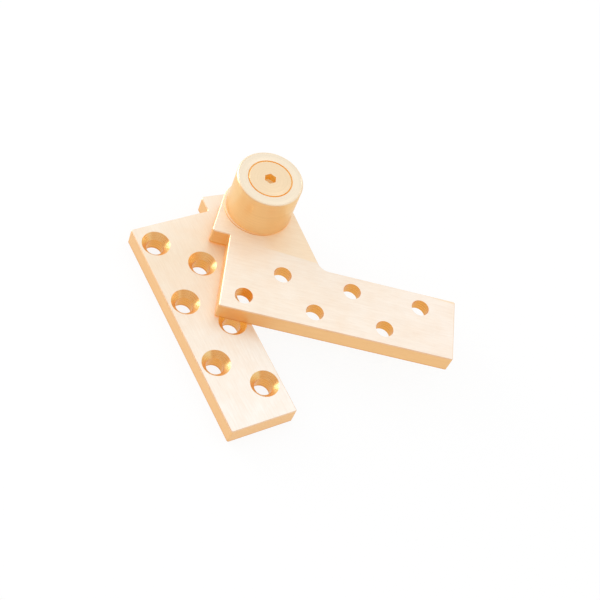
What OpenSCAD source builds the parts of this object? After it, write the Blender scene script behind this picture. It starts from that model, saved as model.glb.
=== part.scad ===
// Offset door pivot hinge: two cranked plates that turn on one retractable pin.
// Origin: on the pivot axis, at the back face of the frame plate.
// +X runs along the frame plate from its heel to its free end, +Z up the barrel.

/* [Plates] */
// Thickness of each plate
plate_t = 9.1; // [8:0.1:11]
// Length of the screwed bar of each plate
bar_l = 107.5; // [100:0.5:150]
// Width of the bar
bar_w = 31.75; // [28:0.25:45]
// Distance from the pivot axis to the bar's heel edge
heel = 11; // [8:0.25:15]
// Distance from the pivot axis to the bar's near long edge
bar_near = 25.9; // [24:0.1:40]
// Gap between the two plates
plate_gap = 0.4; // [0.3:0.05:2]
// Radius on the upright corners
corner_r = 0.8; // [0.4:0.1:2]
// Width of the broken edges round both faces of a plate
edge_break = 0.35; // [0.2:0.05:0.6]
// Angle that the door plate is turned from closed
door_turn = 57.1; // [0:0.1:180]

/* [Ears] */
// Distance from the pivot axis to the ear's step, which clears the face of the door
door_offset = 18.6; // [18:0.1:23]
// Distance from the pivot axis to the ear's heel side
ear_side = 19.3; // [18:0.05:24]
// Radius on the outer corner of the step
step_r = 1.4; // [0.4:0.1:2]
// Radius of the ear's nose
nose_r = 16.15; // [15.7:0.05:17]
// Distance of the nose's centre from the pivot axis, towards the heel
nose_shift = 0.75; // [0:0.05:1]
// Angle between the ear's sloped side and the bar
slope_angle = 60.5; // [50:0.5:75]
// Radius where the sloped side runs into the bar
neck_r = 6.35; // [3:0.05:10]
// Height of the pad that the barrel stands on
pad_h = 0.4; // [0.2:0.05:0.8]
// Run of the pad's sloped edge
pad_slant = 0.25; // [0.1:0.05:0.4]
// Width of the ledge that the nose leaves round the pad
pad_ledge = 0.1; // [0.05:0.05:0.3]

/* [Screw holes] */
// Number of screws in each row
row_count = 3; // [2:1:4]
// Distance from the heel edge to the first hole of the outer row
hole_first = 10.15; // [9:0.05:14]
// Distance between two holes of a row
hole_pitch = 32.4; // [24:0.1:36]
// Distance that the inner row is set forward of the outer row
row_stagger = 16; // [10:0.1:18]
// Distance from the outer long edge to the outer row
row_edge = 8; // [7.5:0.1:11]
// Distance between the two rows
row_gap = 15.9; // [13:0.1:18]
// Diameter of a screw hole
hole_d = 8.2; // [5:0.1:9]
// Diameter of a countersink at the plate's face
sink_d = 13; // [11:0.1:14]
// Full angle of a countersink
sink_angle = 82; // [82:1:100]

/* [Barrel] */
// Diameter of the barrel
barrel_d = 30.4; // [29:0.1:31]
// Height of the barrel above its plate
barrel_h = 22.2; // [20:0.1:32]
// Diameter of the spigot that is pressed into the door plate
spigot_d = 22.2; // [21:0.1:26]
// Bevel round the barrel's free end
rim_bevel = 0.5; // [0.2:0.05:1]
// Depth of the seat for the screw's head
seat_depth = 3.45; // [2.5:0.05:4]
// Thickness of the web under the seat
web_t = 2.8; // [2:0.1:4]

/* [Pin and bushing] */
// Diameter of the pivot pin
pin_d = 15.8; // [14:0.1:17]
// Height of the extended pin's upper end above the door plate
pin_above = 3.6; // [3:0.1:5]
// Distance from the plate's back face to the tip of the extended pin
pin_inset = 0.6; // [0.3:0.1:1.5]
// Radial clearance of the pin in its bores
pin_clear = 0.05; // [0.03:0.01:0.1]
// Outer diameter of the frame bushing
bush_d = 20.6; // [19:0.1:22]
// Distance of the bushing's ends below the plate's faces
bush_inset = 0.2; // [0.1:0.05:0.4]
// Outer diameter of the thrust washer
washer_d = 27; // [24:0.1:29]
// Axial clearance over the thrust washer
washer_clear = 0.05; // [0.03:0.01:0.1]
// Diameter of the dowel that keys the pin
key_d = 2.4; // [2:0.1:3]
// Length of the dowel
key_l = 7.5; // [5:0.1:8]
// Height of the dowel's upper end above the door plate
key_above = 1.9; // [1:0.1:2.5]
// Distance of the retracted pin's tip above the door plate's lower face
tip_lift = 0.2; // [0:0.05:0.5]

/* [Adjusting screw] */
// Diameter of the screw's flat head
head_d = 19.4; // [18:0.1:20]
// Radial clearance of the head in its seat
head_clear = 0.06; // [0.03:0.01:0.1]
// Width of the open ring round the head
ring_w = 0.55; // [0.3:0.05:0.8]
// Depth of the open ring
ring_depth = 0.6; // [0.3:0.05:1]
// Diameter of the threaded stem
stem_d = 9.4; // [8:0.1:10]
// Radial clearance of the stem in its thread and web
stem_clear = 0.05; // [0.03:0.01:0.1]
// Length of thread held by the extended pin
grip_l = 7; // [5:0.1:8]
// Width across the flats of the hex socket
hex_af = 5; // [4:0.1:6]
// Depth of the hex socket
hex_depth = 3.6; // [3:0.1:5]
// Angle of a corner of the hex socket
hex_turn = 30; // [0:1:59]
// Thickness of the retaining clip
clip_t = 0.9; // [0.6:0.1:1.2]
// Outer diameter of the retaining clip
clip_d = 12.4; // [11.5:0.1:13]
// Depth of the clip's groove in the stem
groove_depth = 1.05; // [0.6:0.05:1.4]

/* [Hidden] */

$fn = 96;
eps = 0.01;
// Clearance between flat faces that turn on each other
axial_clear = 0.05;
// Length that a tapped hole or a groove runs past what moves in it
end_clear = 0.5;
// Lead-in at the ends of bores
lead_in = 0.3;
// Bevels on the pin's tip, the stem's end and the screw's head
tip_bevel = 1;
stem_bevel = 0.8;
head_bevel = 0.15;
// Slope of the cone that a drill leaves at the end of a blind hole
drill_slope = 31;
// Flat left round the drill point in the hex socket
hex_land = 0.15;

// Levels along the pivot axis
door_z = plate_t + plate_gap;
foot_z = door_z + plate_t;
rim_z = foot_z + barrel_h;
seat_z = rim_z - seat_depth;
web_z = seat_z - web_t;
pin_top_z = foot_z + pin_above;
stem_z = pin_top_z - grip_l;
clip_z = web_z - axial_clear - clip_t;
pin_travel = door_z + tip_lift - pin_inset;

// Bores that follow what runs in them
pin_bore_r = pin_d / 2 + pin_clear;
stem_bore_r = stem_d / 2 + stem_clear;
groove_r = stem_d / 2 - groove_depth;
hex_point = (hex_af / 2 - hex_land) * tan(drill_slope);
tap_depth = pin_travel + grip_l + end_clear;

// The dowel's groove in the pin runs on far enough for the pin to rise
key_top_z = foot_z + key_above;
key_z = key_top_z - key_l;
groove_z = key_z - pin_travel - end_clear;
key_angle = door_turn + 180;

// Arcs are this much proud of the straight sides they blend into, so that they cross them cleanly
arc_lap = 0.005;

// The outline's sloped side touches the nose and meets the bar's near edge
nose = [-nose_shift, 0];
slope_normal = [sin(slope_angle), cos(slope_angle)];
slope_touch = nose + (nose_r - arc_lap) * slope_normal;
slope_foot = [slope_touch.x + (slope_touch.y + bar_near) / tan(slope_angle), -bar_near];

// The heel side runs from the step's corner to touch the nose
step_corner = [-ear_side, -door_offset];
step_reach = norm(nose - step_corner);
step_turn = atan2(nose.y - step_corner.y, nose.x - step_corner.x)
    + asin((nose_r - arc_lap) / step_reach);
heel_touch = nose + (nose_r - arc_lap) * [cos(step_turn + 90), sin(step_turn + 90)];

outer_y = -bar_near - bar_w;
far_x = bar_l - heel;

// Reach of a cut past the faces it breaks
break_past = 0.1;
// The corners between which the nose stands for the outline's side
NOSE_FIRST = 4;
NOSE_LAST = 5;

// Corners in counter-clockwise order, each with its radius
OUTLINE = [
    [-heel, outer_y, corner_r],
    [far_x, outer_y, corner_r],
    [far_x, -bar_near, corner_r],
    [slope_foot.x, slope_foot.y, neck_r],
    [slope_touch.x, slope_touch.y, 0],
    [heel_touch.x, heel_touch.y, 0],
    [step_corner.x, step_corner.y, step_r],
    [-heel, -door_offset, corner_r]
];

// Centres of the screw holes, outer row first
HOLES = [
    for (row = [0, 1], i = [0 : row_count - 1])
        [
            -heel + hole_first + row * row_stagger + i * hole_pitch,
            outer_y + row_edge + row * row_gap
        ]
];

function flat(p) = [p.x, p.y];
function unit(v) = v / norm(v);
function cross_z(a, b) = a.x * b.y - a.y * b.x;
function around(list, i) = list[(i + len(list)) % len(list)];

// Directions into and out of a corner, and which way it turns
function way_in(list, i) = unit(flat(list[i]) - flat(around(list, i - 1)));
function way_out(list, i) = unit(flat(around(list, i + 1)) - flat(list[i]));
function is_convex(list, i) = cross_z(way_in(list, i), way_out(list, i)) > 0;
function turn_of(list, i) = acos(way_in(list, i) * way_out(list, i));
function tangent_of(list, i) = list[i][2] * tan(turn_of(list, i) / 2);
function arc_start(list, i) = flat(list[i]) - tangent_of(list, i) * way_in(list, i);
function arc_end(list, i) = flat(list[i]) + tangent_of(list, i) * way_out(list, i);
function left_of(v) = [-v.y, v.x];
// Distance from where an arc touches a side to well past where it crosses it
function cross_reach(r) = 2 * sqrt(2 * r * arc_lap);
function arc_centre(list, i) =
    arc_start(list, i) + (is_convex(list, i) ? 1 : -1) * list[i][2] * left_of(way_in(list, i));

// A polygon whose corners are true arcs: the chords first, then a disc at each corner
module rounded_outline(list) {
    last = len(list) - 1;
    difference() {
        union() {
            polygon([
                for (i = [0 : last])
                    each list[i][2] > 0 ? [arc_start(list, i), arc_end(list, i)] : [flat(list[i])]
            ]);
            for (i = [0 : last]) {
                if (list[i][2] > 0 && is_convex(list, i)) {
                    translate(arc_centre(list, i)) circle(r = list[i][2] + arc_lap);
                }
            }
        }
        for (i = [0 : last]) {
            if (list[i][2] > 0 && !is_convex(list, i)) {
                translate(arc_centre(list, i)) circle(r = list[i][2] + arc_lap);
            }
        }
    }
}

// Outline of either plate, with the pivot axis at the origin
module plate_outline() {
    rounded_outline(OUTLINE);
    translate(nose) circle(r = nose_r);
}

// Section of the cut that breaks an edge, with the edge at the origin and the plate
// on the side of -X and -Y. It reaches past both faces.
module break_section() {
    reach = edge_break + break_past;
    polygon([[-reach, break_past], [break_past, -reach], [break_past, break_past]]);
}

// The cut along one straight side, from a to b, with the plate on its left
module break_side(a, b) {
    run = b - a;
    translate(a) rotate(atan2(run.y, run.x)) rotate([90, 0, 90])
        linear_extrude(norm(run)) mirror([1, 0]) break_section();
}

// The cut round an outer corner that starts at angle a and turns by sweep
module break_corner(centre, r, a, sweep) {
    translate(centre) rotate(a) rotate_extrude(angle = sweep)
        translate([r, 0]) break_section();
}

// The cut round an inner corner, whose centre lies outside the plate
module break_neck(centre, r) {
    reach = edge_break + break_past;
    translate([centre.x, centre.y, -reach])
        cylinder(h = reach + break_past, r1 = r - break_past, r2 = r + reach);
}

// How far a side's cut runs on past its end at corner i
function run_on(i) =
    i == NOSE_FIRST || i == NOSE_LAST ? cross_reach(nose_r)
    : is_convex(OUTLINE, i) ? cross_reach(OUTLINE[i][2]) : 0;

// Every cut along the edge of the face at z = 0, with the plate below it
module broken_edge() {
    count = len(OUTLINE);
    for (i = [0 : count - 1]) {
        if (i != NOSE_FIRST) {
            next = (i + 1) % count;
            break_side(
                arc_end(OUTLINE, i) - run_on(i) * way_out(OUTLINE, i),
                arc_start(OUTLINE, next) + run_on(next) * way_out(OUTLINE, i)
            );
        }
        if (OUTLINE[i][2] > 0) {
            centre = arc_centre(OUTLINE, i);
            start = arc_start(OUTLINE, i) - centre;
            r = OUTLINE[i][2] + arc_lap;
            if (is_convex(OUTLINE, i)) {
                break_corner(centre, r, atan2(start.y, start.x), turn_of(OUTLINE, i));
            } else {
                break_neck(centre, r);
            }
        }
    }
    break_corner(nose, nose_r, 90 - slope_angle, step_turn + slope_angle);
}

// A screw hole with its countersink opening on the face at z = plate_t
module screw_hole() {
    sink_depth = (sink_d - hole_d) / 2 / tan(sink_angle / 2);
    translate([0, 0, -eps]) cylinder(h = plate_t + 2 * eps, d = hole_d);
    translate([0, 0, plate_t - sink_depth])
        cylinder(h = sink_depth, d1 = hole_d, d2 = sink_d);
    translate([0, 0, plate_t - eps]) cylinder(h = 1, d = sink_d);
}

// The plate's body with both faces' edges broken
module plate_blank() {
    difference() {
        linear_extrude(plate_t) plate_outline();
        translate([0, 0, plate_t]) broken_edge();
        mirror([0, 0, 1]) broken_edge();
    }
}

// A plate with a bore for what is pressed into its ear; sinks_up says which face is countersunk,
// and children are added to it before the holes are made
module cranked_plate(bore_d, sinks_up) {
    difference() {
        union() {
            plate_blank();
            children();
        }
        for (place = HOLES) {
            translate([place.x, place.y, sinks_up ? 0 : plate_t])
                rotate([sinks_up ? 0 : 180, 0, 0]) screw_hole();
        }
        translate([0, 0, -eps]) cylinder(h = plate_t + pad_h + 2 * eps, d = bore_d);
    }
}

// Low round pad for the barrel, in line with the ear's nose
module barrel_pad() {
    pad_r = nose_r - edge_break - pad_ledge;
    translate(nose) rotate_extrude() polygon([
        [0, plate_t - edge_break],
        [pad_r, plate_t - edge_break],
        [pad_r, plate_t],
        [pad_r - pad_slant, plate_t + pad_h],
        [0, plate_t + pad_h]
    ]);
}

// The plate that goes on the frame's header
module frame_plate() {
    color("#f0d9b0") cranked_plate(bush_d, true);
}

// Bronze sleeve with a lead-in for the pin at each end
module frame_bushing() {
    color("#b98a4a") rotate_extrude() polygon([
        [pin_bore_r + lead_in, bush_inset],
        [bush_d / 2, bush_inset],
        [bush_d / 2, plate_t - bush_inset],
        [pin_bore_r + lead_in, plate_t - bush_inset],
        [pin_bore_r, plate_t - bush_inset - lead_in],
        [pin_bore_r, bush_inset + lead_in]
    ]);
}

// Washer that keeps the plates apart, lying on the frame plate
module thrust_washer() {
    color("#a9772f") translate([0, 0, plate_t]) difference() {
        cylinder(h = plate_gap - washer_clear, d = washer_d);
        translate([0, 0, -eps])
            cylinder(h = plate_gap + 2 * eps, r = pin_bore_r + lead_in);
    }
}

// The same plate turned over, so that its countersinks face the frame plate
module door_plate() {
    color("#efd3a4") rotate(door_turn) translate([0, 0, door_z])
        cranked_plate(spigot_d, false) barrel_pad();
}

// Turned barrel with a spigot for the door plate, bored for the pin from below
module barrel() {
    color("#e3a95f") difference() {
        rotate_extrude() polygon([
            [pin_bore_r + lead_in, door_z],
            [spigot_d / 2, door_z],
            [spigot_d / 2, foot_z + pad_h],
            [barrel_d / 2, foot_z + pad_h],
            [barrel_d / 2, rim_z - rim_bevel],
            [barrel_d / 2 - rim_bevel, rim_z],
            [head_d / 2 + ring_w, rim_z],
            [head_d / 2 + ring_w, rim_z - ring_depth],
            [head_d / 2 + head_clear, rim_z - ring_depth],
            [head_d / 2 + head_clear, seat_z],
            [stem_bore_r, seat_z],
            [stem_bore_r, web_z],
            [pin_bore_r, web_z],
            [pin_bore_r, door_z + lead_in]
        ]);
        rotate(key_angle) translate([pin_bore_r, 0, door_z - eps])
            cylinder(h = key_top_z - door_z + eps, d = key_d, $fn = 48);
    }
}

// Hardened pin, tapped from its upper end and grooved for the dowel
module pivot_pin() {
    color("#b9b9bd") difference() {
        rotate_extrude() polygon([
            [0, pin_inset],
            [pin_d / 2 - tip_bevel, pin_inset],
            [pin_d / 2, pin_inset + tip_bevel],
            [pin_d / 2, pin_top_z - lead_in],
            [pin_d / 2 - lead_in, pin_top_z],
            [stem_bore_r + lead_in, pin_top_z],
            [stem_bore_r, pin_top_z - lead_in],
            [stem_bore_r, pin_top_z - tap_depth],
            [0, pin_top_z - tap_depth - stem_bore_r * tan(drill_slope)]
        ]);
        rotate(key_angle) translate([pin_bore_r, 0, groove_z])
            cylinder(h = pin_top_z - groove_z + eps, r = key_d / 2 + pin_clear, $fn = 48);
    }
}

// Dowel half in the barrel and half in the pin's groove
module pin_key() {
    color("#8f9094") rotate(key_angle) translate([pin_bore_r, 0, key_z])
        cylinder(h = key_l, d = key_d, $fn = 48);
}

// Flat head flush with the barrel's end, stem threaded into the pin
module adjusting_screw() {
    color("#f2e0c0") difference() {
        rotate_extrude() polygon([
            [0, stem_z],
            [stem_d / 2 - stem_bevel, stem_z],
            [stem_d / 2, stem_z + stem_bevel],
            [stem_d / 2, clip_z],
            [groove_r, clip_z],
            [groove_r, clip_z + clip_t],
            [stem_d / 2, clip_z + clip_t],
            [stem_d / 2, seat_z + axial_clear],
            [head_d / 2, seat_z + axial_clear],
            [head_d / 2, rim_z - head_bevel],
            [head_d / 2 - head_bevel, rim_z],
            [0, rim_z]
        ]);
        translate([0, 0, rim_z - hex_depth]) rotate(hex_turn)
            cylinder(h = hex_depth + eps, d = hex_af / cos(30), $fn = 6);
        translate([0, 0, rim_z - hex_depth - hex_point])
            cylinder(h = hex_point + eps, d1 = 0, d2 = hex_af - 2 * hex_land);
    }
}

// Open ring sprung into the stem's groove
module screw_clip() {
    mouth = 1.6 * groove_r;
    color("#77787c") translate([0, 0, clip_z]) difference() {
        cylinder(h = clip_t, d = clip_d);
        translate([0, 0, -eps]) cylinder(h = clip_t + 2 * eps, r = groove_r);
        translate([0, -mouth / 2, -eps]) cube([clip_d, mouth, clip_t + 2 * eps]);
    }
}

frame_plate();
frame_bushing();
thrust_washer();
door_plate();
barrel();
pivot_pin();
pin_key();
adjusting_screw();
screw_clip();
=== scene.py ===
"""Offset door pivot hinge: its brass and steel finishes, its turned pieces, and a pale studio to show it in."""

import logging
import math
from collections.abc import Sequence
from dataclasses import dataclass
from enum import Enum

import bpy
from mathutils import Matrix, Vector


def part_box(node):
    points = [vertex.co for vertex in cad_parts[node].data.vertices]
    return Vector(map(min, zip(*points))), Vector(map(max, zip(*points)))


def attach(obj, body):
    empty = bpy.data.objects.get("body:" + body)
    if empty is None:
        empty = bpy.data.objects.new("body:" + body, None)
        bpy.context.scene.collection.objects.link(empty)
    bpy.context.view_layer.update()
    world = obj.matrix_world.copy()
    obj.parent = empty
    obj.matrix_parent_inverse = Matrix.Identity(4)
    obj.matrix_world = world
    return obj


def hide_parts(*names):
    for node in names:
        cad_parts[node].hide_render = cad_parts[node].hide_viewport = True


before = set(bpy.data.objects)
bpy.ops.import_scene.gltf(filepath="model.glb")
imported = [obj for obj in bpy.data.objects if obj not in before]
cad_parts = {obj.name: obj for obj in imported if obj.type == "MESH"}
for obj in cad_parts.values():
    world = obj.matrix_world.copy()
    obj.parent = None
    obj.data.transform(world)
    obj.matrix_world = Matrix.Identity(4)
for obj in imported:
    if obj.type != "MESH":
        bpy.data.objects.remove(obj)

LOG = logging.getLogger("pivot_hinge")
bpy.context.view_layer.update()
MM = 0.001
MERGE_REACH = 0.001 * MM
OVERCUT = 0.05 * MM
MARK_DEPTH = 0.01 * MM
EDGE_FACES = 2
THREAD_STEPS = 60
SHARP = math.radians(30.0)
FEW_BOUNCES = 1.5
# Bands of how squarely faces look along the pivot axis; the brass finishes colour by them, which paints shade on
# sides and in holes.
CONES = (0.2, 0.4)
ENDS = (0.62, 0.82)
FLATS = (0.91, 0.95)
BLACK = (0.0, 0.0, 0.0, 1.0)
WHITE = (1.0, 1.0, 1.0, 1.0)


class Fit(Enum):
    """How a second piece is combined with a first."""

    CUT_OUT = "DIFFERENCE"
    ADDED = "UNION"
    TRIMMED = "INTERSECT"


class Sheet:
    """A node tree that is being filled in, for a material, a world or a shader group."""

    def __init__(self, tree: bpy.types.NodeTree) -> None:
        """Starts on a tree that may hold nodes already."""
        self.tree = tree

    def add(self, kind: str, **settings: object) -> bpy.types.Node:
        """Adds a node.

        Args:
            kind: The node's type, without the leading ShaderNode.
            settings: The node's properties, or its inputs by name with spaces as underscores.

        Returns:
            The new node.
        """
        node = self.tree.nodes.new(kind if kind.startswith("Node") else "ShaderNode" + kind)
        inputs = {}
        for name, value in settings.items():
            if hasattr(node, name):
                setattr(node, name, value)
            else:
                inputs[name] = value
        self.feed(node, spaced(inputs))
        return node

    def wire(self, source: bpy.types.NodeSocket, target: bpy.types.NodeSocket) -> None:
        """Joins an output to an input."""
        self.tree.links.new(source, target)

    def feed(self, node: bpy.types.Node, terms: dict[int | str, object]) -> None:
        """Gives a node its inputs.

        Args:
            node: The node.
            terms: A number, a colour or an output socket for each input, by its place or its name.
        """
        for place, term in terms.items():
            if isinstance(term, bpy.types.NodeSocket):
                self.wire(term, node.inputs[place])
            else:
                node.inputs[place].default_value = term

    def calc(self, operation: str, *terms: object) -> bpy.types.NodeSocket:
        """Adds a Math node.

        Args:
            operation: The Math node's operation.
            terms: Its inputs in order, each a number or an output socket.

        Returns:
            The result's socket.
        """
        node = self.add("Math", operation=operation)
        self.feed(node, dict(enumerate(terms)))
        return node.outputs[0]

    def mix(self, share: object, low: object, high: object, way: str = "MIX") -> bpy.types.NodeSocket:
        """Adds a colour Mix node.

        Args:
            share: How much of the high colour shows, a number or a socket.
            low: The colour at 0, a tuple or a socket.
            high: The colour at 1, a tuple or a socket.
            way: How the two are mixed.

        Returns:
            The mixed colour's socket.
        """
        node = self.add("Mix", data_type="RGBA", blend_type=way)
        self.feed(node, {0: share, 6: low, 7: high})
        return node.outputs[2]

    def over(self, under: object, mask: bpy.types.NodeSocket, share: float, code: str) -> bpy.types.NodeSocket:
        """Lays a colour over another one where a mask is high."""
        return self.mix(self.calc("MULTIPLY", mask, share), under, rgb(code))

    def between(self, share: object, low: object, high: object) -> bpy.types.NodeSocket:
        """Adds a value Mix node.

        Args:
            share: How much of the high value shows, a number or a socket.
            low: The value at 0, a number or a socket.
            high: The value at 1, a number or a socket.

        Returns:
            The result's socket.
        """
        node = self.add("Mix", data_type="FLOAT")
        self.feed(node, {0: share, 2: low, 3: high})
        return node.outputs[0]

    def remap(self, value: bpy.types.NodeSocket, low: float, high: float,
              to_low: float = 0.0, to_high: float = 1.0) -> bpy.types.NodeSocket:
        """Adds a Map Range node, whose result is held between its ends.

        Args:
            value: The value to map.
            low: The value that maps to to_low.
            high: The value that maps to to_high.
            to_low: The result at low.
            to_high: The result at high.

        Returns:
            The result's socket.
        """
        node = self.add("MapRange", clamp=True)
        self.feed(node, dict(enumerate((value, low, high, to_low, to_high))))
        return node.outputs[0]

    def scaled(self, mask: bpy.types.NodeSocket, ends: tuple[float, float]) -> bpy.types.NodeSocket:
        """Maps a mask to a range."""
        return self.remap(mask, 0.0, 1.0, *ends)

    def split(self, vector: bpy.types.NodeSocket) -> list[bpy.types.NodeSocket]:
        """Adds a Separate XYZ node.

        Args:
            vector: The vector to take apart.

        Returns:
            The sockets of its three parts.
        """
        node = self.add("SeparateXYZ")
        self.wire(vector, node.inputs[0])
        return list(node.outputs)

    def reach(self, x: bpy.types.NodeSocket, y: bpy.types.NodeSocket) -> bpy.types.NodeSocket:
        """Finds the distance that two parts of a vector make."""
        return self.calc("SQRT", self.calc("ADD", self.calc("POWER", x, 2.0), self.calc("POWER", y, 2.0)))

    def noise(self, place: bpy.types.NodeSocket, **settings: float) -> bpy.types.NodeSocket:
        """Adds a Noise Texture node.

        Args:
            place: The place that it reads.
            settings: Values of its inputs by name.

        Returns:
            The noise's socket.
        """
        node = self.add("TexNoise", **settings)
        self.wire(place, node.inputs["Vector"])
        return node.outputs[0]

    def marks(self, parts: Sequence[tuple[bpy.types.NodeSocket, float]],
              **settings: float) -> bpy.types.NodeSocket:
        """Makes the marks that a tool leaves as it goes round.

        Args:
            parts: What the marks change with, each with how fast they do.
            settings: Values of the noise behind them, by name.

        Returns:
            The marks' socket, from 0 to 1.
        """
        node = self.add("CombineXYZ")
        self.feed(node, {i: self.calc("MULTIPLY", *part) for i, part in enumerate(parts)})
        return self.remap(self.noise(node.outputs[0], Scale=1.0, **settings), 0.34, 0.66)


def spaced(values: dict[str, object]) -> dict[str, object]:
    """Puts spaces in place of the underscores in names."""
    return {name.replace("_", " "): value for name, value in values.items()}


def rgb(code: str) -> tuple[float, float, float, float]:
    """Turns a six-digit hex colour into the linear colour that nodes take.

    Args:
        code: The colour as red, green and blue in hex.

    Returns:
        Red, green, blue and an alpha of 1.
    """
    parts = [int(code[i:i + 2], 16) / 255 for i in (0, 2, 4)]
    linear = [c / 12.92 if c <= 0.04045 else ((c + 0.055) / 1.055) ** 2.4 for c in parts]
    return (*linear, 1.0)


class Effects:
    """The shader groups that the finishes share, and how fine their marks are."""

    brush_scales = ((170.0, 3000.0), (110.0, 1100.0))
    brush_range = (0.36, 0.64)
    patch_scale = 90.0
    patch_range = (0.3, 0.7)
    ring_scale = 3000.0
    ring_drift = 0.8
    mark_scale = 3600.0
    rubbed_range = (0.995, 0.9)
    corner_range = (0.85, 0.45)
    # The ramps towards the free end and the heel carry painted highlights.
    bar_range = (0.0, 90.0 * MM)
    heel_range = (8.0 * MM, -12.0 * MM)
    line_blur = (-0.15 * MM, 0.25 * MM)

    def __init__(self) -> None:
        """Builds each group once."""
        self.brushed = self._brushed()
        self.turned = self._turned()
        self.sinks = self._sinks()
        self.edges = self._edges()
        self.ear = self._ear()
        self.corners = self._corners()

    @staticmethod
    def _group(name: str, takes: Sequence[str],
               gives: Sequence[str]) -> tuple[Sheet, bpy.types.Node, bpy.types.Node]:
        """Starts a shader group.

        Args:
            name: The group's name.
            takes: The names of its inputs, of which Place is a vector and the others are values.
            gives: The names of its outputs, which are values.

        Returns:
            The group's sheet, its input node and its output node.
        """
        tree = bpy.data.node_groups.new(name, "ShaderNodeTree")
        for label in takes:
            kind = "NodeSocketVector" if label == "Place" else "NodeSocketFloat"
            tree.interface.new_socket(label, in_out="INPUT", socket_type=kind)
        for label in gives:
            tree.interface.new_socket(label, in_out="OUTPUT", socket_type="NodeSocketFloat")
        sheet = Sheet(tree)
        return sheet, sheet.add("NodeGroupInput"), sheet.add("NodeGroupOutput")

    @staticmethod
    def _along(sheet: Sheet, given: bpy.types.Node) -> bpy.types.NodeSocket:
        """Turns a group's place so that X runs along the plate.

        Args:
            sheet: The group's sheet.
            given: Its input node.

        Returns:
            The turned place's socket.
        """
        turn = sheet.add("VectorRotate", rotation_type="Z_AXIS")
        sheet.feed(turn, {"Vector": given.outputs["Place"], "Angle": given.outputs["Turn"]})
        return turn.outputs[0]

    def _brushed(self) -> bpy.types.NodeTree:
        """Long fine lines along a plate, in two widths, and slow patches.

        Returns:
            A group that takes a place and a turn about Z, and gives lines and patches from 0 to 1.
        """
        sheet, given, result = self._group("brushed_lines", ["Place", "Turn"], ["Lines", "Patches"])
        place = self._along(sheet, given)
        lines = []
        for along, across in self.brush_scales:
            stretch = sheet.add("Mapping", Scale=(along, across, across))
            sheet.wire(place, stretch.inputs["Vector"])
            lines.append(sheet.noise(stretch.outputs[0], Scale=1.0, Detail=2.0, Roughness=0.6))
        both = sheet.calc("MULTIPLY", sheet.calc("ADD", *lines), 0.5)
        patches = sheet.noise(place, Scale=self.patch_scale, Detail=4.0, Roughness=0.65)
        sheet.wire(sheet.remap(both, *self.brush_range), result.inputs["Lines"])
        sheet.wire(sheet.remap(patches, *self.patch_range), result.inputs["Patches"])
        return sheet.tree

    def _turned(self) -> bpy.types.NodeTree:
        """Fine rings round the pivot axis, as a lathe leaves on an end face and on a side.

        Returns:
            A group that takes a place and gives rings from 0 to 1.
        """
        sheet, given, result = self._group("turned_rings", ["Place"], ["Rings"])
        x, y, z = sheet.split(given.outputs["Place"])
        around = sheet.calc("ABSOLUTE", sheet.calc("ARCTAN2", y, x))
        parts = ((sheet.reach(x, y), self.ring_scale), (z, self.ring_scale), (around, self.ring_drift))
        sheet.wire(sheet.marks(parts, Detail=2.0, Roughness=0.6), result.inputs["Rings"])
        return sheet.tree

    def _sinks(self) -> bpy.types.NodeTree:
        """Finds the countersinks and holes of a plate, and their tool marks.

        Returns:
            A group that takes a place, a turn and the rows' places, and gives a mask and rings.
        """
        sheet, given, result = self._group(
            "countersink_marks",
            ["Place", "Turn", "first", "stagger", "pitch", "outer row", "inner row", "radius", "length"],
            ["Mask", "Rings"])
        rows = given.outputs
        x, y, z = sheet.split(self._along(sheet, given))
        middle = sheet.calc("MULTIPLY", sheet.calc("ADD", rows["outer row"], rows["inner row"]), 0.5)
        inner = sheet.calc("GREATER_THAN", y, middle)
        start = sheet.calc("MULTIPLY_ADD", inner, rows["stagger"], rows["first"])
        half = sheet.calc("MULTIPLY", rows["pitch"], 0.5)
        past = sheet.calc("SUBTRACT", x, start)
        along = sheet.calc("ADD", past, half)
        apart = sheet.calc("SUBTRACT", rows["inner row"], rows["outer row"])
        across = sheet.calc("SUBTRACT", y, sheet.calc("MULTIPLY_ADD", inner, apart, rows["outer row"]))
        wrapped = sheet.calc("SUBTRACT", sheet.calc("FLOORED_MODULO", along, rows["pitch"]), half)
        reach = sheet.reach(wrapped, across)
        in_row = sheet.calc("MULTIPLY", sheet.calc("GREATER_THAN", along, 0.0),
                            sheet.calc("LESS_THAN", past, rows["length"]))
        in_sink = sheet.calc("LESS_THAN", reach, rows["radius"])
        sheet.wire(sheet.calc("MULTIPLY", in_row, in_sink), result.inputs["Mask"])
        parts = ((reach, self.mark_scale), (z, self.mark_scale))
        sheet.wire(sheet.marks(parts, Detail=1.0), result.inputs["Rings"])
        return sheet.tree

    def _edges(self) -> bpy.types.NodeTree:
        """Finds the edges, where handling wears the brass bright and a highlight is painted.

        Returns:
            A group that takes a width and gives a mask from 0 to 1.
        """
        sheet, given, result = self._group("worn_sheen_edges", ["Width"], ["Mask"])
        rounded = sheet.add("Bevel", samples=6)
        sheet.wire(given.outputs["Width"], rounded.inputs["Radius"])
        dot = sheet.add("VectorMath", operation="DOT_PRODUCT")
        sheet.feed(dot, {0: rounded.outputs[0], 1: sheet.add("NewGeometry").outputs["Normal"]})
        sheet.wire(sheet.remap(dot.outputs["Value"], *self.rubbed_range), result.inputs["Mask"])
        return sheet.tree

    def _corners(self) -> bpy.types.NodeTree:
        """Finds the inner corners and narrow gaps, where shade falls and is painted in as a deeper orange.

        Returns:
            A group that takes a reach and gives a mask from 0 to 1.
        """
        sheet, given, result = self._group("painted_corner_shade", ["Reach"], ["Mask"])
        open_sky = sheet.add("AmbientOcclusion", samples=6)
        sheet.wire(given.outputs["Reach"], open_sky.inputs["Distance"])
        sheet.wire(sheet.remap(open_sky.outputs["AO"], *self.corner_range), result.inputs["Mask"])
        return sheet.tree

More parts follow.
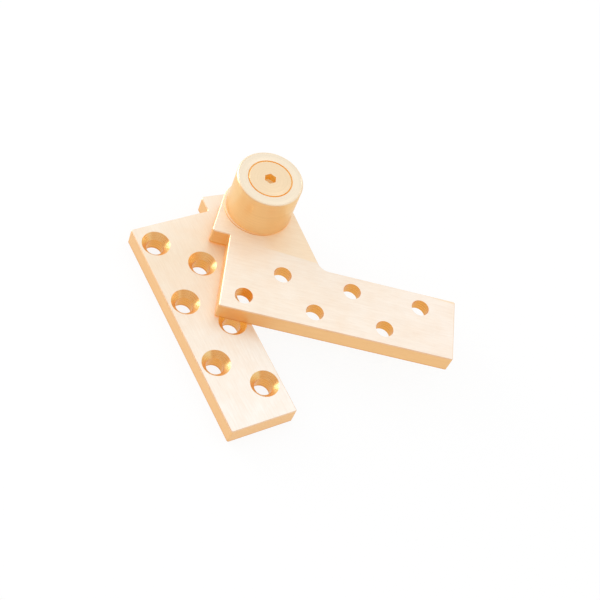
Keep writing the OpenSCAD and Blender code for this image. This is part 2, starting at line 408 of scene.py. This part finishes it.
    def _ear(self) -> bpy.types.NodeTree:
        """Finds the part of a plate's ear that was ground in a second pass, past a line across the neck.

        Returns:
            A group that takes a place, a turn and the line's height and slope, and gives a mask from 0 to 1
            and how near the plate's free end and its heel a place is, for the painted highlights there.
        """
        sheet, given, result = self._group(
            "ear_pass", ["Place", "Turn", "line", "slope", "start", "full"], ["Mask", "Free end", "Heel"])
        x, y, _ = sheet.split(self._along(sheet, given))
        sheet.wire(sheet.remap(x, *self.bar_range), result.inputs["Free end"])
        sheet.wire(sheet.remap(x, *self.heel_range), result.inputs["Heel"])
        line = sheet.calc("MULTIPLY_ADD", x, given.outputs["slope"], given.outputs["line"])
        past = sheet.remap(sheet.calc("SUBTRACT", y, line), *self.line_blur)
        fade = sheet.add("MapRange", interpolation_type="SMOOTHSTEP")
        sheet.feed(fade, {0: x, 1: given.outputs["start"], 2: given.outputs["full"]})
        sheet.wire(sheet.calc("MULTIPLY", past, fade.outputs[0]), result.inputs["Mask"])
        return sheet.tree


@dataclass(frozen=True)
class EarPass:
    """The line across a plate's neck where its second grinding pass ends, and where it fades in."""

    line: float = -20.97 * MM
    slope: float = -0.0656
    start: float = 0.0
    full: float = 14.0 * MM


@dataclass(frozen=True)
class RowLayout:
    """Where a plate's screw holes lie, in metres, along and across the plate."""

    first: float = -0.85 * MM
    stagger: float = 16.0 * MM
    pitch: float = 32.4 * MM
    outer_row: float = -49.65 * MM
    inner_row: float = -33.75 * MM
    radius: float = 6.6 * MM
    length: float = 81.0 * MM


class Finish:
    """What every finish shares: a material with one Principled shader, and the ways to vary it."""

    def __init__(self, name: str, effects: Effects) -> None:
        """Makes the empty material.

        Args:
            name: The material's name.
            effects: The shared shader groups.
        """
        self.effects = effects
        self.material = bpy.data.materials.new(name)
        self.material.use_nodes = True
        self.sheet = Sheet(self.material.node_tree)
        self.shader = self.material.node_tree.nodes["Principled BSDF"]
        self.place = self.sheet.add("TexCoord")

    def shade(self, **values: object) -> None:
        """Sets inputs of the shader."""
        self.sheet.feed(self.shader, spaced(values))

    def use(self, tree: bpy.types.NodeTree, **values: float) -> bpy.types.Node:
        """Places a shared group that reads the piece's own coordinates.

        Args:
            tree: The group.
            values: Its inputs by name, with spaces as underscores.

        Returns:
            The group's node.
        """
        node = self.sheet.add("Group", node_tree=tree)
        self.sheet.feed(node, spaced(values))
        if "Place" in node.inputs:
            self.sheet.wire(self.place.outputs["Object"], node.inputs["Place"])
        return node

    def facing(self, span: tuple[float, float]) -> bpy.types.NodeSocket:
        """Tells faces apart by how squarely they look along the pivot axis."""
        lean = self.sheet.calc("ABSOLUTE", self.sheet.split(self.place.outputs["Normal"])[2])
        return self.sheet.remap(lean, *span)

    def above(self, foot: float, full: float, gone: float) -> bpy.types.NodeSocket:
        """Finds the lowest part of a piece, where the reflected contact shadow at the floor is painted in."""
        height = self.sheet.split(self.place.outputs["Object"])[2]
        return self.sheet.remap(height, foot + full, foot + gone, 1.0, 0.0)

    def bump(self, height: bpy.types.NodeSocket, strength: float) -> None:
        """Roughens the surface.

        Args:
            height: The height from 0 to 1.
            strength: How much of it shows.
        """
        node = self.sheet.add("Bump", Strength=strength, Distance=MARK_DEPTH)
        self.sheet.wire(height, node.inputs["Height"])
        self.shade(Normal=node.outputs[0])

    def warm_gaps(self, code: str) -> None:
        """Gives back, in the metal's own colour, the light that is lost where it bounces often."""
        deep = self.sheet.calc("GREATER_THAN", self.sheet.add("LightPath").outputs["Ray Depth"], FEW_BOUNCES)
        self.shade(Emission_Color=self.sheet.mix(deep, BLACK, rgb(code)), Emission_Strength=1.0)

    def dress(self, piece: bpy.types.Object) -> None:
        """Puts the finish in every material slot of a piece.

        Args:
            piece: The piece to dress.
        """
        if not piece.material_slots:
            piece.data.materials.append(self.material)
        for slot in piece.material_slots:
            slot.material = self.material


@dataclass(frozen=True)
class Metal:
    """What the hinge's metals share."""

    def make(self, name: str, effects: Effects) -> Finish:
        """Builds the material.

        Args:
            name: The material's name.
            effects: The shared shader groups.

        Returns:
            The finish, ready to dress a piece.
        """
        finish = Finish(name, effects)
        self.lay(finish)
        return finish

    def lay(self, finish: Finish) -> None:
        """Wires the finish up, which each metal does in its own way."""
        raise NotImplementedError(finish.material.name)


@dataclass(frozen=True)
class BrushedBrass(Metal):
    """Lacquered satin brass with lines along the plate, with painted shade: a deeper orange on its sides and in
    its holes.
    """

    face: str = "F5E4CC"
    # The end colour is a painted highlight, lighter towards the plate's free end.
    end: str = "FCF7F0"
    # The side, sink and bore colours are painted shade: deeper orange where faces lean away from the top and less
    # light falls.
    side: str = "F0C184"
    sink: str = "F6D698"
    bore: str = "EAA84A"
    # The heel colour is a painted highlight, lighter near the heel end where light from the left falls.
    heel: str = "FDF4E6"
    cloud: str = "F0C086"
    ear: str = "FAE6CA"
    # Edge colour: partly real edge wear, partly a painted highlight along the edges.
    rubbed: str = "FDEEDA"
    # The corner colour is painted shade, laid where ambient occlusion finds corners and gaps.
    tarnish: str = "F0B04C"
    deep: str = "909048"
    # The low edge colour is a painted reflection of shade: the lowest chamfer mirrors the contact shadow on the
    # floor.
    lower_edge: str = "D98C36"
    ear_share: float = 0.0
    heel_share: float = 0.8
    rubbed_share: float = 0.45
    tarnish_share: float = 0.5
    lower_share: float = 0.8
    lower_range: tuple[float, float] = (0.45 * MM, 1.2 * MM)
    line_clouds: tuple[float, float] = (0.07, 0.0)
    patch_clouds: tuple[float, float] = (0.15, 0.0)
    streaks: tuple[float, float] = (0.98, 1.02)
    satin: tuple[float, float] = (0.48, 0.38)
    sink_gloss: tuple[float, float] = (0.34, 0.25)
    metallic: tuple[float, float] = (0.75, 0.5)
    # Less metallic in the painted-shade corners.
    tarnished: tuple[float, float] = (1.0, 0.4)
    sink_marks: float = 3.0
    marks: float = 0.25
    turn: float = 0.0
    foot: float = 0.0
    rows: RowLayout = RowLayout()
    ear_pass: EarPass = EarPass()

    def lay(self, finish: Finish) -> None:
        """Wires the finish up.

        Args:
            finish: The empty finish.
        """
        sheet, effects = finish.sheet, finish.effects
        finish.shade(Metallic=0.75, Roughness=0.42, Coat_Weight=0.1, Coat_Roughness=0.4)
        brushed = finish.use(effects.brushed, Turn=-self.turn)
        lines, patches = brushed.outputs["Lines"], brushed.outputs["Patches"]
        sinks = finish.use(effects.sinks, Turn=-self.turn, **vars(self.rows))
        flat = finish.facing(FLATS)
        sides = sheet.calc("SUBTRACT", 1.0, flat)
        cones = sheet.calc("MULTIPLY", sinks.outputs["Mask"], sides)
        corners = finish.use(effects.corners, Reach=1.0 * MM).outputs["Mask"]
        metal = self._metal(finish, cones)
        clouds = sheet.calc("ADD", sheet.scaled(lines, self.line_clouds), sheet.scaled(patches, self.patch_clouds))
        metal = sheet.mix(clouds, metal, rgb(self.cloud))
        metal = sheet.mix(1.0, metal, sheet.scaled(lines, self.streaks), way="MULTIPLY")
        rubbed = finish.use(effects.edges, Width=0.25 * MM).outputs["Mask"]
        # Painted highlight along the edges, together with real edge wear.
        metal = sheet.over(metal, rubbed, self.rubbed_share, self.rubbed)
        # Painted reflection of the floor's contact shadow along the lowest edge.
        low_shade = sheet.calc("MULTIPLY", finish.above(self.foot, *self.lower_range), sides)
        metal = sheet.over(metal, low_shade, self.lower_share, self.lower_edge)
        # Painted shade in inner corners and narrow gaps.
        metal = sheet.over(metal, corners, self.tarnish_share, self.tarnish)
        cuts = sheet.calc("MULTIPLY", sinks.outputs["Rings"], self.sink_marks)
        finish.shade(
            Base_Color=metal,
            Roughness=sheet.between(cones, sheet.scaled(lines, self.satin),
                                    sheet.scaled(sinks.outputs["Rings"], self.sink_gloss)),
            Metallic=sheet.calc("MULTIPLY", sheet.scaled(flat, self.metallic),
                                sheet.scaled(corners, self.tarnished)))
        finish.warm_gaps(self.deep)
        finish.bump(sheet.between(sinks.outputs["Mask"], lines, cuts), self.marks)

    def _metal(self, finish: Finish, cones: bpy.types.NodeSocket) -> bpy.types.NodeSocket:
        """Gives each part of the plate its colour before any marks, with painted shade on the sides and in the
        holes and painted highlights at the free end and the heel.

        Args:
            finish: The finish that is being made.
            cones: A mask that is 1 in the countersinks and holes.

        Returns:
            The colour's socket.
        """
        sheet = finish.sheet
        ear = finish.use(finish.effects.ear, Turn=-self.turn, **vars(self.ear_pass)).outputs
        # Painted highlights: the top faces are coloured lighter towards the free end and near the heel.
        top = sheet.mix(ear["Free end"], rgb(self.face), rgb(self.end))
        top = sheet.over(top, ear["Mask"], self.ear_share, self.ear)
        top = sheet.over(top, ear["Heel"], self.heel_share, self.heel)
        # Painted shade: sides, countersinks and bores are coloured deeper than the top faces, by how they lean.
        inside = sheet.mix(finish.facing(CONES), rgb(self.bore), rgb(self.sink))
        return sheet.mix(cones, sheet.mix(finish.facing(ENDS), rgb(self.side), top), inside)


@dataclass(frozen=True)
class TurnedBrass(Metal):
    """Lacquered brass as it leaves the lathe, with rings round the pivot axis."""

    face: str = "FAF0DF"
    # The side colour is painted shade: turned sides are coloured deeper orange than end faces.
    side: str = "F4CB90"
    # Edge colour: partly real edge wear, partly a painted highlight along the edges.
    rubbed: str = "FEF4E6"
    edge: str = "FBEBD2"
    # The corner colour is painted shade, laid where ambient occlusion finds corners and gaps.
    tarnish: str = "F2BE38"
    deep: str = "9A8440"
    rubbed_share: float = 0.6
    tarnish_share: float = 0.9
    streaks: tuple[float, float] = (0.965, 1.02)
    satin: tuple[float, float] = (0.4, 0.3)
    metallic: tuple[float, float] = (0.7, 0.15)
    coat: tuple[float, float] = (0.1, 0.0)
    marks: float = 0.15

    def lay(self, finish: Finish) -> None:
        """Wires the finish up.

        Args:
            finish: The empty finish.
        """
        sheet, effects = finish.sheet, finish.effects
        finish.shade(Metallic=0.7, Roughness=0.36, Coat_Weight=0.1, Coat_Roughness=0.4,
                     Specular_Tint=rgb(self.edge))
        rings = finish.use(effects.turned).outputs["Rings"]
        rubbed = finish.use(effects.edges, Width=0.25 * MM).outputs["Mask"]
        corners = finish.use(effects.corners, Reach=1.0 * MM).outputs["Mask"]
        # Painted shade: end faces lighter, sides deeper, by how they lean.
        metal = sheet.mix(finish.facing(ENDS), rgb(self.side), rgb(self.face))
        metal = sheet.mix(1.0, metal, sheet.scaled(rings, self.streaks), way="MULTIPLY")
        # Painted highlight along the edges, together with real edge wear.
        metal = sheet.over(metal, rubbed, self.rubbed_share, self.rubbed)
        # Painted shade in inner corners and narrow gaps.
        metal = sheet.over(metal, corners, self.tarnish_share, self.tarnish)
        finish.shade(Base_Color=metal, Roughness=sheet.scaled(rings, self.satin),
                     Metallic=sheet.scaled(corners, self.metallic), Coat_Weight=sheet.scaled(corners, self.coat))
        finish.warm_gaps(self.deep)
        finish.bump(rings, self.marks)


@dataclass(frozen=True)
class GroundSteel(Metal):
    """Hard steel, ground on its outside."""

    metal: str = "B9BABC"
    line: str = "8E8F92"
    line_share: float = 0.15
    roughness: float = 0.28
    rougher: tuple[float, float] = (-0.04, 0.06)
    marks: float = 0.2

    def lay(self, finish: Finish) -> None:
        """Wires the finish up.

        Args:
            finish: The empty finish.
        """
        sheet = finish.sheet
        finish.shade(Metallic=1.0, Roughness=self.roughness)
        rings = finish.use(finish.effects.turned).outputs["Rings"]
        satin = (self.roughness + self.rougher[0], self.roughness + self.rougher[1])
        finish.shade(Base_Color=sheet.over(rgb(self.metal), rings, self.line_share, self.line),
                     Roughness=sheet.scaled(rings, satin))
        finish.bump(rings, self.marks)


class Bench:
    """Blender's own modelling tools, used as by hand."""

    @staticmethod
    def pick(*pieces: bpy.types.Object) -> None:
        """Selects only these pieces and makes the first one active.

        Args:
            pieces: The pieces to select.
        """
        bpy.ops.object.select_all(action="DESELECT")
        for piece in pieces:
            piece.select_set(True)
        if pieces:
            bpy.context.view_layer.objects.active = pieces[0]

    @staticmethod
    def modify(piece: bpy.types.Object, kind: str) -> bpy.types.Modifier:
        """Adds a modifier.

        Args:
            piece: The piece to change.
            kind: The modifier's type.

        Returns:
            The modifier, on the active piece, ready to be set and applied.
        """
        Bench.pick(piece)
        bpy.ops.object.modifier_add(type=kind)
        return piece.modifiers[-1]

    @staticmethod
    def draw(name: str, points: Sequence[tuple[float, float]]) -> bpy.types.Object:
        """Draws a run of edges beside the pivot axis, one extruded point after another.

        Args:
            name: The new piece's name.
            points: Each point's distance from the axis and its height, in metres.

        Returns:
            The piece, in edit mode with all of it selected.
        """
        Bench.pick()
        bpy.ops.mesh.primitive_plane_add(size=MM)
        piece = bpy.context.object
        piece.name = piece.data.name = name
        bpy.ops.object.mode_set(mode="EDIT")
        bpy.ops.mesh.select_mode(type="VERT")
        bpy.ops.mesh.select_all(action="SELECT")
        bpy.ops.mesh.merge(type="CENTER")
        bpy.ops.transform.translate(value=(points[0][0], 0.0, points[0][1]))
        for (r0, z0), (r1, z1) in zip(points, points[1:]):
            bpy.ops.mesh.extrude_vertices_move(TRANSFORM_OT_translate={"value": (r1 - r0, 0.0, z1 - z0)})
        bpy.ops.mesh.select_all(action="SELECT")
        return piece

    @staticmethod
    def close_up(piece: bpy.types.Object) -> None:
        """Merges the points that meet, turns the faces outwards and leaves edit mode.

        Args:
            piece: The piece that is in edit mode.
        """
        bpy.ops.mesh.select_all(action="SELECT")
        bpy.ops.mesh.remove_doubles(threshold=MERGE_REACH)
        bpy.ops.mesh.normals_make_consistent(inside=False)
        bpy.ops.object.mode_set(mode="OBJECT")
        LOG.info("%s has %d faces", piece.name, len(piece.data.polygons))

    @staticmethod
    def turn(name: str, points: Sequence[tuple[float, float]], steps: int = 128) -> bpy.types.Object:
        """Turns a profile round the pivot axis, as a lathe would.

        Args:
            name: The new piece's name.
            points: The profile, as distances from the axis and heights, in metres.
            steps: How many steps go round.

        Returns:
            The turned piece, closed.
        """
        piece = Bench.draw(name, points)
        bpy.ops.mesh.spin(steps=steps, angle=math.tau, center=(0.0, 0.0, 0.0), axis=(0.0, 0.0, 1.0))
        Bench.close_up(piece)
        return piece

    @staticmethod
    def wind(name: str, points: Sequence[tuple[float, float]], pitch: float, turns: int) -> bpy.types.Object:
        """Winds one pitch of a thread's profile up the pivot axis, with its ends closed flat.

        Args:
            name: The new piece's name.
            points: One pitch of the profile, as distances from the axis and heights, in metres.
            pitch: Rise of one turn, in metres.
            turns: How many turns are wound; the first and the last are cut through.

        Returns:
            The thread, closed.
        """
        piece = Bench.draw(name, points)
        bpy.ops.object.mode_set(mode="OBJECT")
        winding = Bench.modify(piece, "SCREW")
        winding.axis = "Z"
        winding.angle = math.tau
        winding.screw_offset = pitch
        winding.iterations = turns
        winding.steps = winding.render_steps = THREAD_STEPS
        bpy.ops.object.modifier_apply(modifier=winding.name)
        bpy.ops.object.mode_set(mode="EDIT")
        bpy.ops.mesh.select_all(action="SELECT")
        bpy.ops.mesh.remove_doubles(threshold=MERGE_REACH)
        low = points[0][1] + pitch
        for height, upper in ((low, False), (low + pitch * (turns - 1), True)):
            bpy.ops.mesh.select_all(action="SELECT")
            bpy.ops.mesh.bisect(plane_co=(0.0, 0.0, height), plane_no=(0.0, 0.0, 1.0), use_fill=True,
                                clear_inner=not upper, clear_outer=upper)
        Bench.close_up(piece)
        return piece

    @staticmethod
    def combine(piece: bpy.types.Object, other: bpy.types.Object, fit: Fit) -> None:
        """Cuts, adds or trims with a second piece, which is used up.

        Args:
            piece: The piece that is changed.
            other: The piece that it is changed with.
            fit: How the two are combined.
        """
        step = Bench.modify(piece, "BOOLEAN")
        step.object = other
        step.operation = fit.value
        step.solver = "EXACT"
        bpy.ops.object.modifier_apply(modifier=step.name)
        bpy.data.objects.remove(other)

    @staticmethod
    def soften(piece: bpy.types.Object, width: float) -> None:
        """Rounds a piece's sharp edges a little, as deburring does.

        Args:
            piece: The piece.
            width: Width of the rounding, in metres.
        """
        step = Bench.modify(piece, "BEVEL")
        step.width = width
        step.segments = EDGE_FACES
        step.limit_method = "ANGLE"
        step.angle_limit = SHARP
        bpy.ops.object.modifier_apply(modifier=step.name)

    @staticmethod
    def smooth(piece: bpy.types.Object) -> None:
        """Shades curved faces smooth and keeps real edges crisp."""
        Bench.pick(piece)
        bpy.ops.object.shade_smooth_by_angle(angle=math.radians(32.0))


def level(node: str, top: bool = True) -> float:
    """Finds how high a CAD node reaches."""
    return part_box(node)[1 if top else 0][2]


@dataclass
class FrameLeaf:
    """The plate that is screwed to the header, with its bushing and the washer that lies on it."""

    effects: Effects

    def dress(self) -> list[str]:
        """Gives the leaf's pieces their finishes.

        Returns:
            The names of the pieces that are dressed.
        """
        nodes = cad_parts
        BrushedBrass().make("brushed_frame_plate", self.effects).dress(nodes["frame_plate"])
        # The bronzes' side colours are deeper than their faces, as painted shade.
        for name, side, node in (("bearing_bronze", "B98A4A", "frame_bushing"),
                                 ("washer_bronze", "A9772F", "thrust_washer")):
            TurnedBrass(face="C9985A", side=side, rubbed="DDB27A").make(name, self.effects).dress(nodes[node])
        return ["frame_plate", "frame_bushing", "thrust_washer"]


@dataclass
class DoorLeaf:
    """The plate that is screwed to the door, with the turned barrel and the dowel in it."""

    effects: Effects
    turned: float = math.radians(57.1)
    barrel_r: float = 15.2 * MM
    spigot_r: float = 11.1 * MM
    rim_bevel: float = 0.5 * MM
    score_r: float = 14.42 * MM
    score_w: float = 0.16 * MM
    score_d: float = 0.1 * MM
    foot_relief: float = 0.25 * MM
    foot_height: float = 0.22 * MM
    ring_r: float = 10.25 * MM
    ring_depth: float = 0.6 * MM
    head_bore_r: float = 9.76 * MM
    seat_depth: float = 3.45 * MM
    web: float = 2.8 * MM
    stem_bore_r: float = 4.75 * MM
    pin_bore_r: float = 7.95 * MM
    lead_in: float = 0.3 * MM
    deburr: float = 0.06 * MM

    def profile(self) -> list[tuple[float, float]]:
        """Draws half a section through the barrel.

        Returns:
            Its corners, as distances from the axis and heights, with the first one repeated at the end.
        """
        low, rim, pad = level("barrel", top=False), level("barrel"), level("door_plate")
        seat, ring_floor = rim - self.seat_depth, rim - self.ring_depth
        foot_r = self.barrel_r - self.foot_relief
        points = [
            (self.pin_bore_r + self.lead_in, low),
            (self.spigot_r, low),
            (self.spigot_r, pad),
            (foot_r, pad),
            (foot_r, pad + self.foot_height / 2),
            (self.barrel_r, pad + self.foot_height),
            (self.barrel_r, rim - self.rim_bevel),
            (self.barrel_r - self.rim_bevel, rim),
            (self.score_r + self.score_w / 2, rim),
            (self.score_r, rim - self.score_d),
            (self.score_r - self.score_w / 2, rim),
            (self.ring_r, rim),
            (self.ring_r, ring_floor),
            (self.head_bore_r, ring_floor),
            (self.head_bore_r, seat),
            (self.stem_bore_r, seat),
            (self.stem_bore_r, seat - self.web),
            (self.pin_bore_r, seat - self.web),
            (self.pin_bore_r, low + self.lead_in),
        ]
        return [*points, points[0]]

    def build(self) -> bpy.types.Object:
        """Turns the barrel, deburrs it and cuts its keyway.

        Returns:
            The finished barrel.
        """
        barrel = Bench.turn("turned_barrel", self.profile())
        Bench.soften(barrel, self.deburr)
        (x0, y0, _), (x1, y1, high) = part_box("pin_key")
        bottom = level("barrel", top=False) - OVERCUT
        Bench.pick()
        bpy.ops.mesh.primitive_cylinder_add(vertices=48, radius=(x1 - x0) / 2, depth=high - bottom,
                                            location=((x0 + x1) / 2, (y0 + y1) / 2, (high + bottom) / 2))
        Bench.combine(barrel, bpy.context.object, Fit.CUT_OUT)
        Bench.smooth(barrel)
        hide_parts("barrel")
        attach(barrel, "door")
        return barrel

    def dress(self, barrel: bpy.types.Object) -> list[str]:
        """Gives the leaf's pieces their finishes.

        Args:
            barrel: The barrel that was built.

        Returns:
            The names of the pieces that are dressed.
        """
        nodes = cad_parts
        # The lighter end colour is a painted highlight towards the door plate's free end.
        plate = BrushedBrass(face="F8ECDC", end="FBF0E4", ear_share=1.0, turn=self.turned,
                             foot=level("door_plate", top=False))
        plate.make("brushed_door_plate", self.effects).dress(nodes["door_plate"])
        # The barrel's side colour is deeper than its face, as painted shade.
        TurnedBrass(face="F7E8D0", edge="FFF8EC").make("turned_brass", self.effects).dress(barrel)
        GroundSteel(metal="A6A7AA").make("ground_key", self.effects).dress(nodes["pin_key"])
        return ["door_plate", barrel.name, "pin_key"]


@dataclass
class AdjustingGear:
    """The screw that moves the pin, and the clip that holds the screw in the barrel."""

    effects: Effects
    head_r: float = 9.7 * MM
    head_h: float = 3.4 * MM
    head_bevel: float = 0.15 * MM
    shank_r: float = 4.7 * MM
    crest_r: float = 4.68 * MM
    root_r: float = 3.9 * MM
    core_r: float = 3.5 * MM
    core_inset: float = 0.1 * MM
    pitch: float = 1.5875 * MM
    thread_l: float = 11.1 * MM
    thread_form: tuple[float, ...] = (0.12, 0.44, 0.56, 0.88)
    run_in: float = 1.4
    spare_turns: int = 2
    trim_clearance: float = 0.2 * MM
    end_bevel: float = 0.8 * MM
    groove_r: float = 3.65 * MM
    socket_af: float = 5.0 * MM
    socket_depth: float = 3.6 * MM
    socket_land: float = 0.15 * MM
    drill_slope: float = math.radians(31.0)
    deburr: float = 0.05 * MM

    def blank(self) -> bpy.types.Object:
        """Turns the head, the shank with the clip's groove, and the core that the thread stands on.

        Returns:
            The blank.
        """
        end, rim = level("adjusting_screw", top=False), level("adjusting_screw")
        clip_low, clip_high = level("screw_clip", top=False), level("screw_clip")
        blank = Bench.turn("adjusting_screw_blank", [
            (0.0, end + self.core_inset),
            (self.core_r, end + self.core_inset),
            (self.core_r, end + self.thread_l),
            (self.shank_r, end + self.thread_l),
            (self.shank_r, clip_low),
            (self.groove_r, clip_low),
            (self.groove_r, clip_high),
            (self.shank_r, clip_high),
            (self.shank_r, rim - self.head_h),
            (self.head_r, rim - self.head_h),
            (self.head_r, rim - self.head_bevel),
            (self.head_r - self.head_bevel, rim),
            (0.0, rim),
        ])
        Bench.soften(blank, self.deburr)
        return blank

    def thread(self) -> bpy.types.Object:
        """Winds the right-hand thread and bevels its end.

        Returns:
            The thread, which runs a little way into the shank.
        """
        end = level("adjusting_screw", top=False)
        turns = math.ceil(self.thread_l / self.pitch) + self.spare_turns
        start = end - self.run_in * self.pitch
        rise, crest, crest_end, fall = (start + share * self.pitch for share in self.thread_form)
        thread = Bench.wind("adjusting_screw_thread", [
            (self.root_r, start),
            (self.root_r, rise),
            (self.crest_r, crest),
            (self.crest_r, crest_end),
            (self.root_r, fall),
            (self.root_r, start + self.pitch),
        ], self.pitch, turns)
        high = end + self.thread_l + self.trim_clearance
        outside = self.shank_r + self.trim_clearance
        trim = Bench.turn("thread_trim", [
            (0.0, end),
            (self.shank_r - self.end_bevel, end),
            (outside, end + self.end_bevel + self.trim_clearance),
            (outside, high),
            (0.0, high),
        ])
        Bench.combine(thread, trim, Fit.TRIMMED)
        return thread

    def build(self) -> bpy.types.Object:
        """Makes the screw from its blank and its thread, and sinks the socket in its head.

        Returns:
            The finished screw.
        """
        screw = self.blank()
        Bench.combine(screw, self.thread(), Fit.ADDED)
        screw.name = screw.data.name = "threaded_screw"
        rim = level("adjusting_screw")
        socket_r = self.socket_af / 2 / math.cos(math.radians(30.0))
        Bench.pick()
        bpy.ops.mesh.primitive_cylinder_add(vertices=6, radius=socket_r, depth=self.socket_depth + OVERCUT,
                                            location=(0.0, 0.0, rim - (self.socket_depth - OVERCUT) / 2))
        Bench.combine(screw, bpy.context.object, Fit.CUT_OUT)
        drill_r = self.socket_af / 2 - self.socket_land
        slope = math.tan(self.drill_slope)
        point = drill_r * slope
        drill = Bench.turn("drill_point", [
            (0.0, rim - self.socket_depth - point),
            (drill_r + OVERCUT / slope, rim - self.socket_depth + OVERCUT),
            (0.0, rim - self.socket_depth + OVERCUT),
        ], steps=64)
        Bench.combine(screw, drill, Fit.CUT_OUT)
        Bench.smooth(screw)
        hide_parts("adjusting_screw")
        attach(screw, "screw")
        return screw

    def dress(self, screw: bpy.types.Object) -> list[str]:
        """Gives the screw and the clip their finishes.

        Args:
            screw: The screw that was built.

        Returns:
            The names of the pieces that are dressed.
        """
        # The screw's side colour is deeper than its face, as painted shade.
        TurnedBrass(face="F6DDB9", side="F0C878", deep="948A3A").make("screw_brass", self.effects).dress(screw)
        GroundSteel(metal="5A5B5E", roughness=0.4).make("black_clip", self.effects).dress(
            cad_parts["screw_clip"])
        return [screw.name, "screw_clip"]


@dataclass
class PivotPin:
    """The hard pin that the hinge turns on."""

    effects: Effects

    def dress(self) -> list[str]:
        """Gives the pin its finish."""
        GroundSteel().make("ground_pin", self.effects).dress(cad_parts["pivot_pin"])
        return ["pivot_pin"]


@dataclass(frozen=True)
class Lamp:
    """One soft lamp: where it stands, what it points at, its two sides and its power."""

    name: str
    stand: tuple[float, float, float]
    aim: tuple[float, float, float]
    size: tuple[float, float]
    power: float

    def light(self) -> None:
        """Adds the lamp to the scene."""
        data = bpy.data.lights.new(self.name, "AREA")
        data.shape = "RECTANGLE"
        data.size, data.size_y = self.size
        data.energy = self.power
        lamp = bpy.data.objects.new(self.name, data)
        bpy.context.scene.collection.objects.link(lamp)
        lamp.location = self.stand
        lamp.rotation_euler = (Vector(self.aim) - Vector(self.stand)).to_track_quat("-Z", "Y").to_euler()


@dataclass
class Studio:
    """The pale floor, the white surround, the lamps and the camera."""

    floor_size: float = 6.0
    floor_z: float = -0.02 * MM
    floor_grey: tuple[float, float, float, float] = (0.95, 0.95, 0.95, 1.0)
    floor_roughness: float = 0.9
    floor_white: float = 0.88
    surround: tuple[float, float] = (1.0, 0.93)
    wall: tuple[float, float, float] = (0.55, -0.83, 0.0)
    wall_tint: str = "DD9440"
    wall_sides: tuple[float, float] = (0.15, 0.3)
    wall_top: tuple[float, float] = (0.6, 0.45)
    eye: tuple[float, float, float] = (0.28205, -0.26724, 0.4863)
    right: tuple[float, float, float] = (0.44153, 0.85744, 0.26427)
    up: tuple[float, float, float] = (-0.80537, 0.24891, 0.53797)
    lens: float = 79.34
    sensor: float = 36.0
    near_clip: float = 0.01
    lamps: tuple[Lamp, ...] = (
        Lamp("key_lamp", (-0.9, -0.44, 0.14), (0.02, -0.01, 0.01), (1.0, 0.25), 2.8),
        Lamp("side_lamp", (-0.95, -0.45, 0.42), (0.0, 0.0, 0.02), (0.5, 0.4), 2.3),
        Lamp("near_lamp", (-0.06, 0.22, 0.5), (0.09, -0.03, 0.009), (0.2, 0.2), 0.05),
    )

    def build(self) -> None:
        """Builds all of it."""
        self._floor()
        self._surround()
        for lamp in self.lamps:
            lamp.light()
        self._camera()

    def _floor(self) -> None:
        """Lays a plain pale floor that shows white, with the shadow of what stands on it."""
        bpy.ops.object.select_all(action="DESELECT")
        bpy.ops.mesh.primitive_plane_add(size=self.floor_size, location=(0.0, 0.0, self.floor_z))
        floor = bpy.context.object
        floor.name = "studio_floor"
        material = bpy.data.materials.new("floor_white")
        material.use_nodes = True
        sheet = Sheet(material.node_tree)
        shader = material.node_tree.nodes["Principled BSDF"]
        shader.inputs["Base Color"].default_value = self.floor_grey
        shader.inputs["Roughness"].default_value = self.floor_roughness
        shader.inputs["Specular IOR Level"].default_value = 0.0
        glow = sheet.add("Emission", Color=WHITE, Strength=1.0)
        path = sheet.add("LightPath")
        seen = sheet.calc("MAXIMUM", path.outputs["Is Camera Ray"], path.outputs["Is Glossy Ray"])
        blend = sheet.add("MixShader")
        sheet.feed(blend, {0: sheet.calc("MULTIPLY", seen, self.floor_white), 1: shader.outputs[0],
                           2: glow.outputs[0]})
        sheet.wire(blend.outputs[0], material.node_tree.nodes["Material Output"].inputs["Surface"])
        floor.data.materials.append(material)

    def _surround(self) -> None:
        """Fills the world with soft white light, and shows it plain white behind the object."""
        world = bpy.data.worlds.new("studio_surround")
        world.use_nodes = True
        bpy.context.scene.world = world
        sheet = Sheet(world.node_tree)
        back = world.node_tree.nodes["Background"]
        mirrored = sheet.add("LightPath").outputs["Is Glossy Ray"]
        sheet.wire(sheet.scaled(mirrored, self.surround), back.inputs["Strength"])
        way = sheet.add("TexCoord").outputs["Generated"]
        toward = sheet.add("VectorMath", operation="DOT_PRODUCT")
        sheet.feed(toward, {0: way, 1: self.wall})
        low = sheet.remap(sheet.calc("ABSOLUTE", sheet.split(way)[2]), *self.wall_top)
        behind = sheet.calc("MULTIPLY", sheet.remap(toward.outputs["Value"], *self.wall_sides), low)
        sheet.wire(sheet.mix(sheet.calc("MULTIPLY", behind, mirrored), WHITE, rgb(self.wall_tint)),
                   back.inputs["Color"])

    def _camera(self) -> None:
        """Sets up the camera that the scene is seen through."""
        data = bpy.data.cameras.new("studio_camera")
        data.lens = self.lens
        data.sensor_width = self.sensor
        data.clip_start = self.near_clip
        camera = bpy.data.objects.new("studio_camera", data)
        bpy.context.scene.collection.objects.link(camera)
        right, up = Vector(self.right), Vector(self.up)
        back = right.cross(up)
        turn = Matrix((right, up, back)).transposed().to_4x4()
        camera.matrix_world = Matrix.Translation(self.eye) @ turn
        bpy.context.scene.camera = camera


def main() -> None:
    """Builds and dresses the hinge's sub-assemblies in turn, then the studio round them."""
    logging.basicConfig(level=logging.INFO, format="%(name)s: %(message)s")
    effects = Effects()
    door_leaf, gear = DoorLeaf(effects), AdjustingGear(effects)
    dressed = [
        *FrameLeaf(effects).dress(),
        *door_leaf.dress(door_leaf.build()),
        *gear.dress(gear.build()),
        *PivotPin(effects).dress(),
    ]
    for name in dressed:
        LOG.info("%s is done", name)
    Studio().build()
    bpy.context.scene.view_settings.view_transform = "Standard"
    LOG.info("studio ready")


if __name__ == "__main__":
    main()
